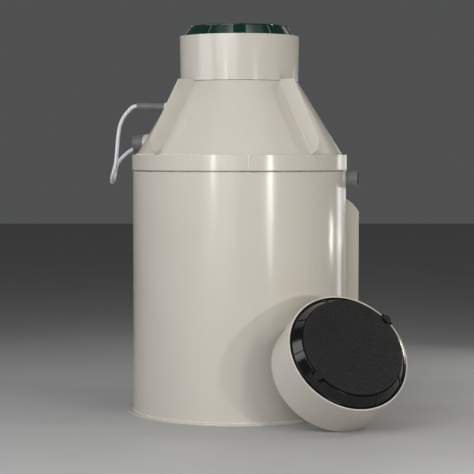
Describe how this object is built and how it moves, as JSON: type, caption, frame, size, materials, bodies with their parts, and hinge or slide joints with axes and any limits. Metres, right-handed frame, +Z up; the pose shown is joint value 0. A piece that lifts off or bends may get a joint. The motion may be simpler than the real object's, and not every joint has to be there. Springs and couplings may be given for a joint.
{
  "type": "household sewage treatment plant",
  "caption": "Upright round plastic tank with a cone roof, neck, hatch, drain pipe stubs and an air hose, and a neck extension ring with a hatch leaning on it.",
  "frame": {"origin": "on the tank's axis at the underside of its base, which stands on the floor", "axes": "+Z up along the tank's axis, -Y is the front, +X is the outlet's side"},
  "size_m": [1.8503, 1.9417, 2.476],
  "materials": {
    "shell_plastic": "semi-gloss warm grey sheet with welded seams",
    "grey_pipe": "smooth mid grey drain pipe",
    "pale_hose": "pale grey flexible hose",
    "green_hatch": "glossy dark green moulded lid",
    "black_frame": "glossy black moulded frame",
    "black_cover": "matte near-black cover with small raised lozenges"
  },
  "bodies": {
    "root": {"air_collar": "shell_plastic", "base_plate": "shell_plastic", "extension_ring": "shell_plastic", "gusset_1": "shell_plastic", "gusset_2": "shell_plastic", "gusset_3": "shell_plastic", "gusset_4": "shell_plastic", "inlet_collar": "shell_plastic", "neck_ring": "shell_plastic", "outlet_collar": "shell_plastic", "roof_collar": "shell_plastic", "roof_panel_1": "shell_plastic", "roof_panel_2": "shell_plastic", "roof_panel_3": "shell_plastic", "roof_panel_4": "shell_plastic", "roof_panel_5": "shell_plastic", "roof_panel_6": "shell_plastic", "roof_panel_7": "shell_plastic", "roof_panel_8": "shell_plastic", "side_fin": "shell_plastic", "top_band": "shell_plastic", "wall_panel_1": "shell_plastic", "wall_panel_2": "shell_plastic", "wall_panel_3": "shell_plastic", "wall_panel_4": "shell_plastic", "wall_panel_5": "shell_plastic", "wall_panel_6": "shell_plastic", "wall_panel_7": "shell_plastic", "wall_panel_8": "shell_plastic", "air_gland": "grey_pipe", "air_pipe": "grey_pipe", "inlet_pipe": "grey_pipe", "outlet_pipe": "grey_pipe", "air_hose": "pale_hose", "neck_hatch_cover": "green_hatch", "neck_hatch_frame": "green_hatch", "neck_hatch_lock_1": "green_hatch", "neck_hatch_lock_2": "green_hatch", "extension_hatch_frame": "black_frame", "extension_hatch_lock_1": "black_frame", "extension_hatch_lock_2": "black_frame", "extension_hatch_cover": "black_cover"}
  },
  "joints": []
}
